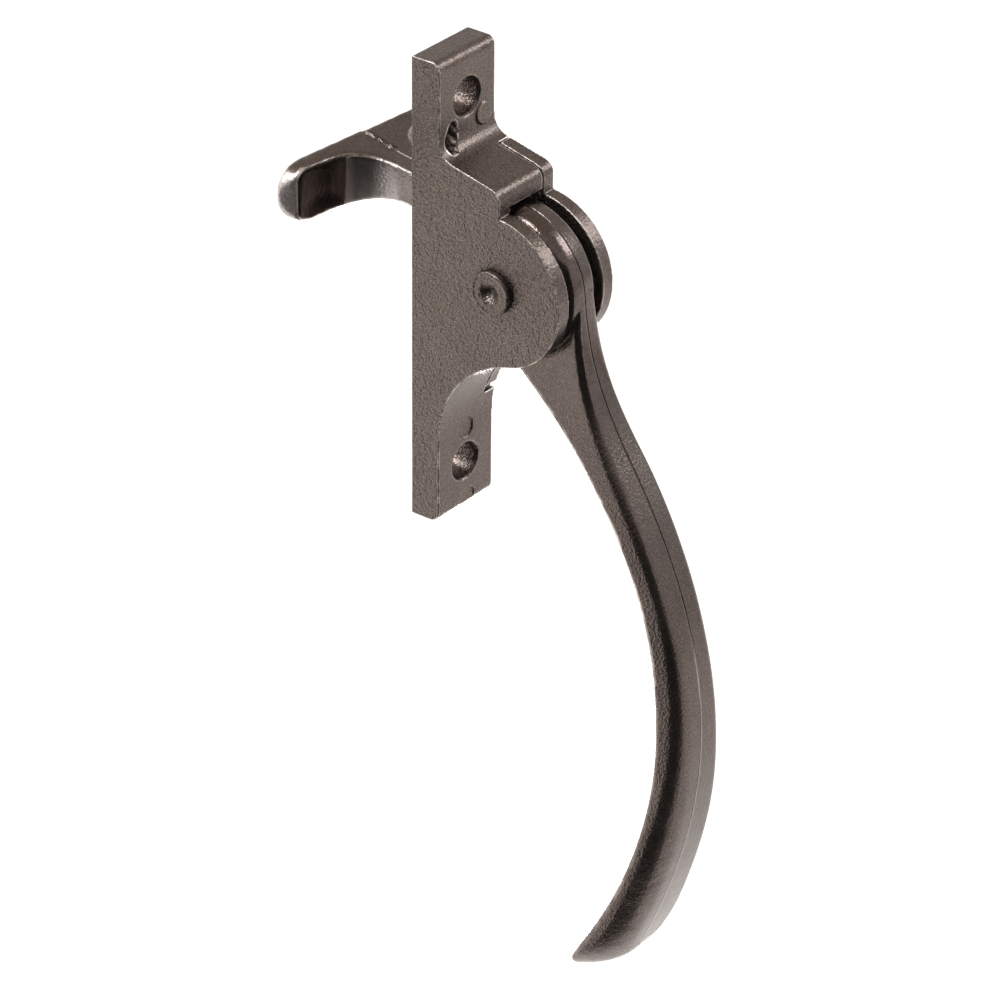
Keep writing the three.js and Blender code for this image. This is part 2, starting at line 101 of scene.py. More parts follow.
# The side plate, and the seams between it and its bed in the casting.
PLATE_STEP_OUT = 7.9
PLATE_STEP_UP = 20.6
PLATE_BOTTOM = -19.8
PLATE_TAIL = 1.9
PLATE_TAIL_SLOPE = 1.3
SEAM = 0.28
STEP_GAP = 0.16

# What casting leaves: the scar where the runner broke off, torn flash on the head, and ejector pin marks,
# each given as (across, up, height) and sunk where its height is below 0. SCAR_RIM and SCAR_MARK say how far
# the scar and the painted shadow on its deep left side reach, as shares of its half size.
SCAR_CENTRE = (-3.6, 24.9)
SCAR_SIZE = (2.5, 4.5)
SCAR_DEPTH = 2.3
SCAR_LUMPS = 0.6
SCAR_LEAN = 0.16
SCAR_RAGGED = 0.25
SCAR_RIM = 1.1
SCAR_MARK = 1.25
TEAR_SPAN = (7.6, 13.4)
TEAR_WIDTH = 0.45
TEAR_HEIGHT = 0.5
EJECTOR_RADIUS = 1.7
EJECTOR_MARKS = ((3.7, 26.3, 0.3), (0.1, -24.4, -0.3), (0.5, -36.6, -0.3))

# Edge wear with a painted highlight: the skin is compared with itself after so many rounds of smoothing, and
# shows neither where it stands less than the first height above that, and both in full above the second.
EDGE_SPAN = 4
EDGE_LEAST = 0.028
EDGE_MOST = 0.052

# Hub, neck and head of the lever. STOP_SPAN is where the stop face meets the neck's underside, out.
HUB_RADIUS = 12.2
HUB_CLEARANCE = 0.45
LEVER_LEFT = -3.7
LEVER_RIGHT = 2.5
LEVER_CENTRE = (LEVER_LEFT + LEVER_RIGHT) / 2
NECK_TOP = 16.9
NECK_UNDERSIDE = 11.5
STOP_SPAN = (-6, 5)
HEAD_REACH = 18.2
HEAD_HEIGHT = 9.6
HEAD_TOP = 19.5
HEAD_THICK = 2.9
HEAD_BACK = 14.15
HEAD_SLANT = 0.08
HEAD_FILLET = 7.5
HEAD_TAPER = 1.0
HEAD_END_ROUND = 0.7
HEAD_END_CUT = 1.5
HEAD_BACK_ROUND = 0.7
HEAD_SOFTENING = 45

# The handle's side view is two edges, each of two curves that meet at a middle point. A lean is how far
# a curve's direction is turned outward from straight down, and a pull is the length of its control arm.
OUTER_START_LEAN = 5
OUTER_START_PULL = 8.9
OUTER_MID = (36, -18.8)
OUTER_MID_LEAN = 33.4
OUTER_MID_PULLS = (11, 33.5)
OUTER_END = (40.7, -101.4)
OUTER_END_LEAN = -24
OUTER_END_PULL = 33
INNER_START = (15.2, -7)
INNER_START_LEAN = 52.9
INNER_START_PULL = 21.8
INNER_MID = (45.35, -62.2)
INNER_MID_LEAN = 1
INNER_MID_PULLS = (28, 19)
INNER_END = (31.6, -105)
INNER_END_LEAN = -31
INNER_END_PULL = 9.5

# The handle's cross-sections. The half widths are evenly spaced from hub to tip, MID sizes are felt most
# half way along, and a draft is a slope. Over HANDLE_LOW_SPAN, two shares of the length, the left edge's
# rounds turn into the LOW ones, which are shares of the thickness.
HANDLE_HALF_WIDTHS = (3.05, 3.6, 4.4, 4.5, 4.55, 5.1, 6.1, 6.9, 8.1)
HANDLE_MID_SHIFT = 0.65
HANDLE_MID_WIDER = 0.3
HANDLE_MID_THINNER = 0.5
HANDLE_SKIN = 0.03
HANDLE_LEFT_ROUND = 1.6
HANDLE_RIGHT_ROUND = 1.3
HANDLE_INNER_ROUND = 1.1
HANDLE_LOW_SPAN = (0.4, 0.75)
HANDLE_LOW_LEFT_ROUND = 0.6
HANDLE_LOW_INNER_ROUND = 0.14
HANDLE_SIDE_DRAFT = 0.1
HANDLE_LEFT_DRAFT = 0.03
HANDLE_RIGHT_DRAFT = 0.055

# The handle's tip, in side view and in plan. A fullness of 2 is a plain round, and more is blunter.
HANDLE_TIP = 4.0
HANDLE_TIP_LEAN = -22
HANDLE_TIP_FULLNESS = 2.8
HANDLE_TIP_PLAN = 10.5
HANDLE_TIP_PLAN_FULLNESS = 2.6

# Rivet and washer.
RIVET_BORE = 5.6
RIVET_SHANK = 5.4
RIVET_HEAD = 7
RIVET_DIMPLE = 3.6
RIVET_DIMPLE_DEPTH = 1.1
FACTORY_HEAD = 9
WASHER_INNER = 6.2
WASHER_THICK = 0.5
WASHER_WAVES = 3

# How finely each kind of piece is remeshed.
CAST_VOXEL = 0.15
LEVER_VOXEL = 0.24
RIVET_VOXEL = 0.1

# ---- colours, as linear light ----
FLECKS = ((0.3, (0.066, 0.055, 0.0512)), (0.5, (0.110, 0.092, 0.0857)), (0.7, (0.190, 0.158, 0.1471)))
# Pale metal on edges with wear, which also paints a highlight along them.
BARE_METAL_AND_HIGHLIGHT = (0.75, 0.71, 0.67, 1)
# Painted sheen: a paler grey for the neck's fillet and the head's end.
PAINTED_SHEEN_GREY = (0.42, 0.39, 0.385, 1)
SCUFF_SHADE = (0.66, 0.64, 0.63, 1)
# Painted shade: multiplied into hollows, seams and the scar's deep side.
PAINTED_SHADE_COLOUR = (0.12, 0.11, 0.11, 1)

# ---- where the lever's surface changes, millimetres: each pair runs from no effect to the full effect ----
RIDGE_UP = (-42, -56)
HUB_GLOSS_UP = (-16, -9)
HUB_GLOSS_BACK = (-1, -4)
HEAD_GLOSS_BACK = (2, 6)
HEAD_END_SPAN = (2.1, 1.4)
SHEEN_ACROSS = (-7.8, -7.4)
SHEEN_BACK = (0, 1)
SCUFF_UP = (-66, -86)

# ---- stage, metres and degrees ----
CAMERA_AZIMUTH = -52.2663
CAMERA_ELEVATION = 30.0618
CAMERA_ROLL = 0.5439
CAMERA_PLACE = (-0.512213, -0.408089, 0.340342)
CAMERA_LENS = 180
CAMERA_SENSOR = 36
FLOOR = -0.32
FLOOR_REACH = 6.0
# Painted shade: a dark sheet, seen only in reflections, for the room's unlit side.
SHADE_SHEET_START = 0.12
SHADE_SHEET_REACH = 1.1
SHADE_SHEET_LIFT = 0.004
SHADE_SHEET_TOP = 0.5
SHADE_SHEET_SPREAD = 50

CORE_RIGHT = PLATE_INNER - SEAM
CLEAR_FRONT = PIVOT_OUT + EAR_RADIUS + 2
WEB_OUT = FLANGE_THICK + WEB_FILLET
WEB_UP = PIVOT_UP - math.sqrt((WEB_FILLET + EAR_RADIUS) ** 2 - (WEB_OUT - PIVOT_OUT) ** 2)
WEB_ANGLE = math.degrees(math.atan2(PIVOT_UP - WEB_UP, PIVOT_OUT - WEB_OUT))


def share(value, start, end):
    """0 at start, 1 at end, straight between them and level beyond."""
    return min(1, max(0, (value - start) / (end - start)))


# ---- flat outlines ----
def arc(centre, radius, start, end, steps=24):
    """Points on a circle, from one angle in degrees to another."""
    found = []
    for i in range(steps + 1):
        a = math.radians(start + (end - start) * i / steps)
        found.append((centre[0] + radius * math.cos(a), centre[1] + radius * math.sin(a)))
    return found


def bend(start, corner, end, steps=8):
    """A quadratic curve from start to end that would meet at corner."""
    found = []
    for i in range(steps + 1):
        t = i / steps
        found.append(tuple(
            (1 - t) ** 2 * start[k] + 2 * t * (1 - t) * corner[k] + t * t * end[k] for k in (0, 1)
        ))
    return found


def block_top(out):
    """How high the block's sloping top is, so far out."""
    return BLOCK_TOP_AT_FLANGE - BLOCK_DROP * (out - FLANGE_THICK)


def body_outline():
    """The whole side silhouette in (out, up): flange, web, ear and block."""
    inner = FLANGE_THICK - FLANGE_ROUND
    ear_end = math.degrees(math.acos((BLOCK_FRONT - PIVOT_OUT) / EAR_RADIUS))
    fillet_out = FLANGE_THICK + BLOCK_FILLET
    round_out = BLOCK_FRONT - BLOCK_ROUND
    outline = [(0, FLANGE_BOTTOM)]
    outline += arc((inner, FLANGE_BOTTOM + FLANGE_ROUND), FLANGE_ROUND, -90, 0, 10)
    outline += arc((WEB_OUT, WEB_UP), WEB_FILLET, 180, WEB_ANGLE, 36)
    outline += arc((PIVOT_OUT, PIVOT_UP), EAR_RADIUS, WEB_ANGLE - 180, ear_end, 72)[1:]
    outline += bend(
        (BLOCK_FRONT, block_top(BLOCK_FRONT) - BLOCK_ROUND),
        (BLOCK_FRONT, block_top(BLOCK_FRONT)),
        (round_out, block_top(round_out)),
    )
    outline += bend(
        (fillet_out, block_top(fillet_out)),
        (FLANGE_THICK, BLOCK_TOP_AT_FLANGE),
        (FLANGE_THICK, BLOCK_TOP_AT_FLANGE + BLOCK_FILLET),
        14,
    )
    outline += arc((inner, FLANGE_TOP - FLANGE_ROUND), FLANGE_ROUND, 0, 90, 10)
    outline.append((0, FLANGE_TOP))
    return outline


def swung(out, up):
    """A point of the side view after the handle has been lifted to its limit."""
    a = math.radians(joint["range_deg"][1])
    x = out - PIVOT_OUT
    y = up - PIVOT_UP
    return (
        PIVOT_OUT + x * math.cos(a) - y * math.sin(a),
        PIVOT_UP + x * math.sin(a) + y * math.cos(a),
    )


def pocket_outline():
    """The window between the ears that the neck swings through, down to its stop face."""
    far, near = (swung(out, NECK_UNDERSIDE - HUB_CLEARANCE) for out in STOP_SPAN)
    front = BLOCK_FRONT + 2
    return [
        far,
        near,
        (PIVOT_OUT, PIVOT_UP),
        (front, PIVOT_UP),
        (front, BLOCK_UNDERSIDE),
        (far[0], BLOCK_UNDERSIDE),
    ]


def plate_bed_outline():
    """The shallow bed in the casting's right side that the side plate lies in."""
    back = -OVERCUT
    step_out = PLATE_STEP_OUT - STEP_GAP
    step_up = PLATE_STEP_UP + SEAM
    top = BLOCK_TOP_AT_FLANGE + OVERCUT
    bottom = PLATE_BOTTOM - SEAM
    return [
        (back, bottom),
        (CLEAR_FRONT, bottom),
        (CLEAR_FRONT, top),
        (step_out, top),
        (step_out, step_up),
        (back, step_up),
    ]


def plate_keep_outline():
    """The part of the side silhouette that the side plate fills."""
    tail_up = PLATE_BOTTOM + PLATE_TAIL_SLOPE * PLATE_TAIL
    return [
        (0, PLATE_BOTTOM),
        (FLANGE_THICK - 0.1, PLATE_BOTTOM),
        (FLANGE_THICK + PLATE_TAIL, tail_up),
        (CLEAR_FRONT, tail_up),
        (CLEAR_FRONT, BLOCK_TOP_AT_FLANGE),
        (PLATE_STEP_OUT, BLOCK_TOP_AT_FLANGE),
        (PLATE_STEP_OUT, PLATE_STEP_UP),
        (0, PLATE_STEP_UP),
    ]


# ---- mesh building ----
def mesh_object(name, verts, faces):
    mesh = bpy.data.meshes.new(name)
    mesh.from_pydata([tuple(v) for v in verts], [], faces)
    work = bmesh.new()
    work.from_mesh(mesh)
    bmesh.ops.recalc_face_normals(work, faces=work.faces)
    work.to_mesh(mesh)
    work.free()
    made = bpy.data.objects.new(name, mesh)
    bpy.context.scene.collection.objects.link(made)
    return made


def prism(outline, low, high, place):
    """An outline pushed from low to high; place turns (a, b, depth) into (x, y, z)."""
    count = len(outline)
    verts = [place(a, b, low) for a, b in outline] + [place(a, b, high) for a, b in outline]
    faces = [tuple(range(count)), tuple(range(2 * count - 1, count - 1, -1))]
    for i in range(count):
        j = (i + 1) % count
        faces.append((i, j, count + j, count + i))
    return mesh_object("prism", verts, faces)


def side_prism(outline, low, high):
    return prism(outline, low, high, lambda out, up, x: (x, -out, up))


def plan_prism(outline, low, high):
    return prism(outline, low, high, lambda x, y, z: (x, y, z))


def front_prism(outline, low, high):
    return prism(outline, low, high, lambda x, z, y: (x, y, z))


def turned(profile, place, segments=96):
    """A closed body turned round an axis; profile points are (radius, along), with both ends on the axis."""
    verts = []
    rows = []
    for radius, along in profile:
        if radius == 0:
            rows.append([len(verts)] * segments)
            verts.append(place(0, 0, along))
            continue
        rows.append(list(range(len(verts), len(verts) + segments)))
        for k in range(segments):
            a = 2 * math.pi * k / segments
            verts.append(place(radius * math.cos(a), radius * math.sin(a), along))
    faces = []
    for low, high in zip(rows, rows[1:]):
        for k in range(segments):
            ring = (low[k], low[(k + 1) % segments], high[(k + 1) % segments], high[k])
            faces.append(tuple(dict.fromkeys(ring)))
    return mesh_object("turned", verts, [f for f in faces if len(f) > 2])


def on_pivot(a, b, along):
    return (along, -PIVOT_OUT + a, PIVOT_UP + b)


def pivot_cylinder(diameter, low, high, segments=128):
    r = diameter / 2
    return turned([(0, low), (r, low), (r, high), (0, high)], on_pivot, segments)


def screw_cutter(up):
    bore = SCREW_BORE / 2
    mouth = SCREW_MOUTH / 2
    profile = [
        (0, -OVERCUT),
        (bore, -OVERCUT),
        (bore, FLANGE_THICK - SCREW_MOUTH_DEPTH),
        (mouth, FLANGE_THICK),
        (mouth, FLANGE_THICK + OVERCUT),
        (0, FLANGE_THICK + OVERCUT),
    ]
    return turned(profile, lambda a, b, out: (a, -out, up + b), 64)


def ejector_disc(x, up, height):
    """A shallow round mark on the flange's front, which reaches past that face on its other side."""
    low = FLANGE_THICK + (-OVERCUT if height > 0 else height)
    high = FLANGE_THICK + (height if height > 0 else OVERCUT)
    profile = [(0, low), (EJECTOR_RADIUS, low), (EJECTOR_RADIUS, high), (0, high)]
    return turned(profile, lambda a, b, out: (x + a, -out, up + b), 48)


def settle(piece):
    """Applies a piece's modifiers."""
    graph = bpy.context.evaluated_depsgraph_get()
    graph.update()
    done = bpy.data.meshes.new_from_object(piece.evaluated_get(graph))
    piece.modifiers.clear()
    old = piece.data
    piece.data = done
    bpy.data.meshes.remove(old)
    return piece


def combine(piece, tool, operation):
    """Joins, cuts or meets a piece with a tool, and uses the tool up."""
    step = piece.modifiers.new("combine", "BOOLEAN")
    step.operation = operation
    step.solver = "MANIFOLD"
    step.object = tool
    settle(piece)
    bpy.data.objects.remove(tool)
    return piece


def cut(piece, tool):
    return combine(piece, tool, "DIFFERENCE")


def join(piece, tool):
    return combine(piece, tool, "UNION")


def common(piece, tool):
    return combine(piece, tool, "INTERSECT")


def cast_skin(piece, voxel=CAST_VOXEL, rounds=2):
    """Remeshes a piece evenly and rounds its edges a little, as die casting and paint do."""
    even = piece.modifiers.new("even", "REMESH")
    even.mode = "VOXEL"
    even.voxel_size = voxel
    soft = piece.modifiers.new("soft", "SMOOTH")
    soft.factor = 0.5
    soft.iterations = rounds
    return settle(piece)


def soften_where(piece, weight, rounds):
    """Rounds a skinned piece further where weight(x, out, up) is above 0."""
    group = piece.vertex_groups.new(name="softer")
    for vertex in piece.data.vertices:
        x, y, z = vertex.co
        amount = weight(x, -y, z)
        if amount > 0:
            group.add([vertex.index], min(amount, 1), "REPLACE")
    soft = piece.modifiers.new("softer", "SMOOTH")
    soft.factor = 0.5
    soft.iterations = rounds
    soft.vertex_group = group.name
    settle(piece)
    piece.vertex_groups.clear()
    return piece


def read_vectors(mesh, what):
    found = np.empty(len(mesh.vertices) * 3)
    if what == "normals":
        mesh.vertex_normals.foreach_get("vector", found)
    else:
        mesh.vertices.foreach_get("co", found)
    return found.reshape(-1, 3)


def gate_scar(piece):
    """The pit torn out where the casting broke off its runner, deepest along its left side.

    u and v run across and up the pit, from -1 to 1 at its edges.
    """
    centre_x, centre_up = SCAR_CENTRE
    wide, tall = SCAR_SIZE
    spots = read_vectors(piece.data, "places")
    facing = read_vectors(piece.data, "normals")
    pit = np.zeros(len(spots), dtype=np.float32)
    for i, (x, y, z) in enumerate(spots):
        proud = -y - FLANGE_THICK
        on_front = -0.2 < proud < 1.2 and facing[i][1] < -0.3
        if not on_front or abs(z - centre_up) > tall:
            continue
        ragged = SCAR_RAGGED * noise.noise(Vector((x * 0.9, z * 0.6, 7.7)))
        u = (x - centre_x - SCAR_LEAN * (z - centre_up)) / (wide / 2) + ragged
        v = (z - centre_up) / (tall / 2)
        reach = math.hypot(u, v)
        # Painted shadow on the scar's deep left side, stored as pit and added to the painted shade.
        pit[i] = share(reach, SCAR_MARK, SCAR_MARK - 0.12) * share(u, 0.3, -0.1)
        inside = share(reach, SCAR_RIM, SCAR_RIM - 0.1)
        floor = SCAR_DEPTH * max(0, 0.5 - 0.5 * u)
        lumps = SCAR_LUMPS * noise.noise(Vector((x * 1.3, z * 0.9, 3.1))) * share(u, -5 / 6, 5 / 6)
        spots[i][1] = y + inside * (floor - lumps)
    piece.data.vertices.foreach_set("co", spots.ravel())
    piece.data.attributes.new("pit", "FLOAT", "POINT").data.foreach_set("value", pit)
    return piece


def narrow_below(piece):
    """Draws the neck and head in toward their underside."""
    spots = read_vectors(piece.data, "places")
    for i, (x, y, z) in enumerate(spots):
        behind = share(y, 1, 5)
        if behind == 0:
            continue
        shoulder = HEAD_TOP - 2
        low = share(z, shoulder, shoulder - HEAD_HEIGHT) ** 2
        spots[i][0] = x - HEAD_TAPER * low * behind * max(-1, min(1, (x - LEVER_CENTRE) / 3))
        arm = share(abs(x - LEVER_CENTRE), 3, 7)
        if y < HEAD_BACK - 1:
            spots[i][1] = y + 0.5 * HEAD_TAPER * low * arm
    piece.data.vertices.foreach_set("co", spots.ravel())
    return piece


def flash_tear(piece):
    """Torn flash standing along the parting line on top of the head."""
    spots = read_vectors(piece.data, "places")
    facing = read_vectors(piece.data, "normals")
    start, end = TEAR_SPAN
    for i, (x, y, z) in enumerate(spots):
        if facing[i][2] < 0.5 or y < start or y > end:
            continue
        wander = LEVER_CENTRE + 0.5 * noise.noise(Vector((0.3, y * 0.7, 5.5)))
        near = share(abs(x - wander), TEAR_WIDTH, 0)
        beside = share(abs(x - wander - TEAR_WIDTH), TEAR_WIDTH, 0)
        rough = noise.fractal(Vector((x * 2.0, y * 1.5, 1.9)), 0.6, 2.0, 3)
        fade = min(share(y, start, start + 1.0), share(y, end, end - 0.6))
        lift = near * (0.6 + rough) - 0.8 * beside * (0.4 + abs(rough))
        spots[i][2] = z + TEAR_HEIGHT * fade * lift
    piece.data.vertices.foreach_set("co", spots.ravel())
    return piece


def mark_edges(piece):
    """Stores where the skin stands proud, for wear with a painted highlight, or lies in a hollow, for painted
    shade.
    """
    mesh = piece.data
    count = len(mesh.vertices)
    pairs = np.empty(len(mesh.edges) * 2, dtype=np.int64)
    mesh.edges.foreach_get("vertices", pairs)
    first, second = pairs.reshape(-1, 2).T
    neighbours = np.bincount(first, minlength=count) + np.bincount(second, minlength=count)
    neighbours = np.maximum(neighbours, 1)

    def averaged(values):
        total = np.bincount(first, values[second], count) + np.bincount(second, values[first], count)
        return total / neighbours

    spots = read_vectors(mesh, "places")
    smooth = spots.copy()
    for _ in range(EDGE_SPAN):
        smooth = np.stack([averaged(smooth[:, k]) for k in range(3)], axis=1)
    proud = np.einsum("ij,ij->i", spots - smooth, read_vectors(mesh, "normals"))
    pit = np.zeros(count, dtype=np.float32)
    if "pit" in mesh.attributes:
        mesh.attributes["pit"].data.foreach_get("value", pit)
    # Raised edges get wear with a painted highlight; hollows and the scar's pit get painted shade.
    for name, sign in (("wear_and_highlight", 1), ("painted_shade", -1)):
        amount = (sign * averaged(proud) - EDGE_LEAST) / (EDGE_MOST - EDGE_LEAST)
        amount = np.clip(amount, 0, 1) * (1 if sign > 0 else 0.5) - sign * pit
        mark = mesh.attributes.new(name, "FLOAT", "POINT")
        mark.data.foreach_set("value", np.clip(amount, 0, 1).astype(np.float32))
    return piece


def finish_piece(piece, name, body, material, nodes):
    """Marks edge wear with a painted highlight and painted shade, turns millimetres into metres, gives the
    piece its material, puts it under its body's empty and hides the CAD parts it replaces.
    """
    piece.name = name
    piece.data.name = name
    mark_edges(piece)
    piece.data.transform(Matrix.Scale(MM, 4))
    piece.data.shade_smooth()
    piece.data.materials.clear()
    piece.data.materials.append(material)
    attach(piece, body)
    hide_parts(*nodes)
    return piece


# ---- the pieces ----
def base_casting():
    room = RIGHT + OVERCUT
    ear_inner = LEFT + EAR_THICK
    body = side_prism(body_outline(), LEFT, RIGHT)
    cut(body, pivot_cylinder(2 * (HUB_RADIUS + HUB_CLEARANCE), ear_inner, room))
    cut(body, side_prism(pocket_outline(), ear_inner, room))
    nose = [(WEB_FRONT, WEB_UP), (CLEAR_FRONT, WEB_UP), (CLEAR_FRONT, PIVOT_UP), (WEB_FRONT, PIVOT_UP)]
    cut(body, side_prism(nose, ear_inner, room))
    cut(body, side_prism(plate_bed_outline(), CORE_RIGHT, room))
    cut(body, pivot_cylinder(RIVET_BORE, LEFT - OVERCUT, RIGHT + OVERCUT))
    for up in (HOLE_SPACING / 2, -HOLE_SPACING / 2):
        cut(body, screw_cutter(up))
    for x, up, height in EJECTOR_MARKS:
        (join if height > 0 else cut)(body, ejector_disc(x, up, height))
    return gate_scar(cast_skin(body))


def side_plate():
    body = side_prism(body_outline(), PLATE_INNER, RIGHT)
    common(body, side_prism(plate_keep_outline(), PLATE_INNER - OVERCUT, RIGHT + OVERCUT))
    cut(body, pivot_cylinder(RIVET_BORE, PLATE_INNER - OVERCUT, RIGHT + OVERCUT))
    return cast_skin(body)


def downward(degrees):
    """A direction in the side view, so many degrees outward from straight down."""
    return np.array([math.sin(math.radians(degrees)), -math.cos(math.radians(degrees))])


def bezier(start, start_degrees, start_pull, end, end_degrees, end_pull, steps=80):
    first = np.array(start, float)
    last = np.array(end, float)
    a = first + downward(start_degrees) * start_pull
    b = last - downward(end_degrees) * end_pull
    t = np.linspace(0, 1, steps)[:, None]
    return (1 - t) ** 3 * first + 3 * (1 - t) ** 2 * t * a + 3 * (1 - t) * t * t * b + t ** 3 * last


def evenly(path, count):
    """The same path with evenly spaced points, and its length."""
    along = np.concatenate([[0], np.cumsum(np.hypot(*np.diff(path, axis=0).T))])
    at = np.linspace(0, along[-1], count)
    spaced = np.stack([np.interp(at, along, path[:, k]) for k in (0, 1)], axis=1)
    return spaced, along[-1]


def handle_outer_edge(count):
    """From where it leaves the hub's rim, running along it, to the tip."""
    leave = math.radians(OUTER_START_LEAN)
    start = (PIVOT_OUT + HUB_RADIUS * math.cos(leave), PIVOT_UP + HUB_RADIUS * math.sin(leave))
    above, below = OUTER_MID_PULLS
    upper = bezier(start, OUTER_START_LEAN, OUTER_START_PULL, OUTER_MID, OUTER_MID_LEAN, above)
    lower = bezier(OUTER_MID, OUTER_MID_LEAN, below, OUTER_END, OUTER_END_LEAN, OUTER_END_PULL)
    return evenly(np.concatenate([upper, lower[1:]]), count)


def handle_inner_edge(count):
    above, below = INNER_MID_PULLS
    upper = bezier(INNER_START, INNER_START_LEAN, INNER_START_PULL, INNER_MID, INNER_MID_LEAN, above)
    lower = bezier(INNER_MID, INNER_MID_LEAN, below, INNER_END, INNER_END_LEAN, INNER_END_PULL)
    return evenly(np.concatenate([upper, lower[1:]]), count)


def handle_half_width(t):
    """A smooth curve through the half widths, spaced evenly along the handle."""
    widths = HANDLE_HALF_WIDTHS
    last = len(widths) - 1
    i = min(int(t * last), last - 1)
    f = t * last - i
    before, here = widths[max(i - 1, 0)], widths[i]
    after, beyond = widths[i + 1], widths[min(i + 2, last)]
    rise, fall = (after - before) / 2, (beyond - here) / 2
    curve = (2 * here - 2 * after + rise + fall) * f ** 3
    return curve + (3 * after - 3 * here - 2 * rise - fall) * f ** 2 + rise * f + here


def tip_narrowing(distance):
    """How much of its width the handle keeps, so far from its tip: it ends in a blunt round."""
    fullness = HANDLE_TIP_PLAN_FULLNESS
    return (1 - (1 - share(distance, 0, HANDLE_TIP_PLAN)) ** fullness) ** (1 / fullness)


def handle_section(half_width, thick, left_round, right_round, inner_left_round, inner_round):
    """A rounded cross-section as (across, inner to outer) pairs, falling away from the parting line."""
    ring = []

    def corner(across, height, radius, start):
        ring.extend(arc((across, height), radius, start, start + 90, 8))

    corner(half_width - inner_round, inner_round, inner_round, -90)
    corner(half_width - right_round, thick - right_round, right_round, 0)
    ring.append((0, thick))
    corner(left_round - half_width, thick - left_round, left_round, 90)
    corner(inner_left_round - half_width, inner_left_round, inner_left_round, 180)
    ring.append((0, 0))
    middle = thick / 2

    def fallen(across, height):
        draft = HANDLE_RIGHT_DRAFT if across > 0 and height > middle else HANDLE_LEFT_DRAFT
        return height - math.copysign(draft * abs(across), height - middle)

    def narrowed(across, height):
        return across * (1 - HANDLE_SIDE_DRAFT * height / half_width) if across < 0 else across

    return [(narrowed(across, height), fallen(across, height)) for across, height in ring]


def handle():
    """Cross-sections along the handle and round its tip, joined by faces."""
    steps = 110
    tip_steps = 14
    tip_turn = 86
    outer, length = handle_outer_edge(steps + 1)
    inner, _ = handle_inner_edge(steps + 1)
    rings = []

    def place(inner_point, outer_point, t, distance):
        along = outer_point - inner_point
        thick = float(np.hypot(*along))
        along = along / thick
        belly = math.sin(math.pi * t)
        inner_point = inner_point + along * HANDLE_MID_THINNER * belly
        thick -= HANDLE_MID_THINNER * belly + HANDLE_SKIN
        half_width = (handle_half_width(t) + HANDLE_MID_WIDER * belly) * tip_narrowing(distance)
        low = share(t, *HANDLE_LOW_SPAN)
        left_round = (1 - low) * HANDLE_LEFT_ROUND + low * HANDLE_LOW_LEFT_ROUND * thick
        inner_left_round = (1 - low) * HANDLE_INNER_ROUND + low * HANDLE_LOW_INNER_ROUND * thick
        rounds = [
            min(half_width * 0.9, thick * 0.6, left_round),
            min(half_width * 0.9, thick * 0.45, HANDLE_RIGHT_ROUND),
            min(half_width * 0.9, thick * 0.39, inner_left_round),
            min(half_width * 0.9, thick * 0.45, HANDLE_INNER_ROUND),
        ]
        ring = []
        for across, n in handle_section(half_width, thick, *rounds):
            out, up = inner_point + along * n
            ring.append((LEVER_CENTRE - HANDLE_MID_SHIFT * belly + across, -out, up))
        rings.append(ring)

    for i in range(steps + 1):
        t = i / steps
        place(inner[i], outer[i], t, (1 - t) * length + HANDLE_TIP)
    middle = (outer[-1] + inner[-1]) / 2
    half = (outer[-1] - inner[-1]) / 2
    for i in range(1, tip_steps + 1):
        a = math.radians(tip_turn * i / tip_steps)
        reach = HANDLE_TIP * math.sin(a) ** (2 / HANDLE_TIP_FULLNESS)
        rest = half * math.cos(a) ** (2 / HANDLE_TIP_FULLNESS)
        centre = middle + downward(HANDLE_TIP_LEAN) * reach
        place(centre - rest, centre + rest, 1, HANDLE_TIP - reach)
    count = len(rings[0])
    verts = [v for ring in rings for v in ring]
    faces = []
    for r in range(len(rings) - 1):
        for i in range(count):
            j = (i + 1) % count
            faces.append((r * count + i, r * count + j, (r + 1) * count + j, (r + 1) * count + i))
    faces.append(tuple(range(count)))
    faces.append(tuple(range((len(rings) - 1) * count, len(rings) * count)))
    return mesh_object("handle", verts, faces)


def neck_outline():
    """Side view of neck and head, from the hub's middle to behind the head."""
    back = -HEAD_BACK
    outline = [(PIVOT_OUT, PIVOT_UP), (PIVOT_OUT, PIVOT_UP + HUB_RADIUS - 0.02)]
    outline += bend((0, NECK_TOP), (back / 2, NECK_TOP + 0.3), (back, HEAD_TOP), 12)
    outline += [(back - 3, HEAD_TOP), (back - 3, HEAD_TOP - HEAD_HEIGHT)]
    outline += bend((back + 2, HEAD_TOP - HEAD_HEIGHT), (-6, NECK_UNDERSIDE), (0, NECK_UNDERSIDE), 12)
    outline.append((PIVOT_OUT - 8, NECK_UNDERSIDE))
    return outline


